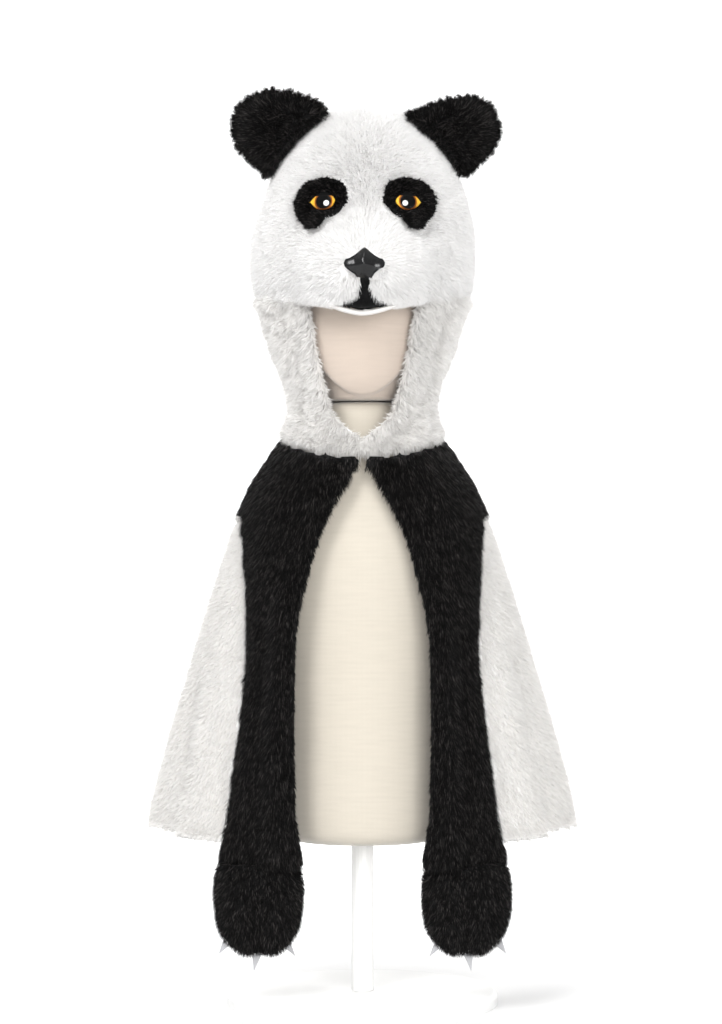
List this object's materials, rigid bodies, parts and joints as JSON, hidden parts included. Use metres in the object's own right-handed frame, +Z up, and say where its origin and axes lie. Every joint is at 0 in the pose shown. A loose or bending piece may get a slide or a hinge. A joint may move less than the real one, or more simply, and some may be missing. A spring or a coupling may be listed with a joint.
{
  "type": "panda cape on a dress form",
  "caption": "Child's fur-cloth cape with a stuffed animal-head hood, arms ending in paws, worn by a limbless dress form on a plain round stand",
  "frame": {"origin": "the middle of the underside of the stand's base, on the floor", "axes": "+Z up along the pole; the garment's front faces -Y; +X is the wearer's left"},
  "size_m": [0.4402, 0.3169, 0.9112],
  "materials": {
    "white_fur": "long white faux fur",
    "black_fur": "long black faux fur with a grey sheen",
    "white_satin": "smooth white satin facing",
    "claw_felt": "light grey pressed felt",
    "amber_eye": "glossy amber plastic with a black pupil",
    "nose_vinyl": "glossy black vinyl",
    "form_knit": "fine beige knit cover",
    "form_linen": "plain beige linen cover",
    "stand_paint": "white powder coat"
  },
  "bodies": {
    "root": {"face_panel": "white_fur", "hood_nape": "white_fur", "back_panel": "white_fur", "head_side_left": "white_fur", "head_side_right": "white_fur", "cheek_left": "white_fur", "cheek_right": "white_fur", "back_yoke": "black_fur", "front_left": "black_fur", "front_right": "black_fur", "paw_left": "black_fur", "paw_right": "black_fur", "ear_front_left": "black_fur", "ear_front_right": "black_fur", "ear_back_left": "black_fur", "ear_back_right": "black_fur", "eye_patch_left": "black_fur", "eye_patch_right": "black_fur", "lip_facing": "white_satin", "claw_inner_left": "claw_felt", "claw_inner_right": "claw_felt", "claw_middle_left": "claw_felt", "claw_middle_right": "claw_felt", "claw_outer_left": "claw_felt", "claw_outer_right": "claw_felt", "eye_left": "amber_eye", "eye_right": "amber_eye", "nose": "nose_vinyl", "form_head": "form_knit", "form_torso": "form_linen", "form_pole": "stand_paint", "form_base": "stand_paint"}
  },
  "joints": []
}
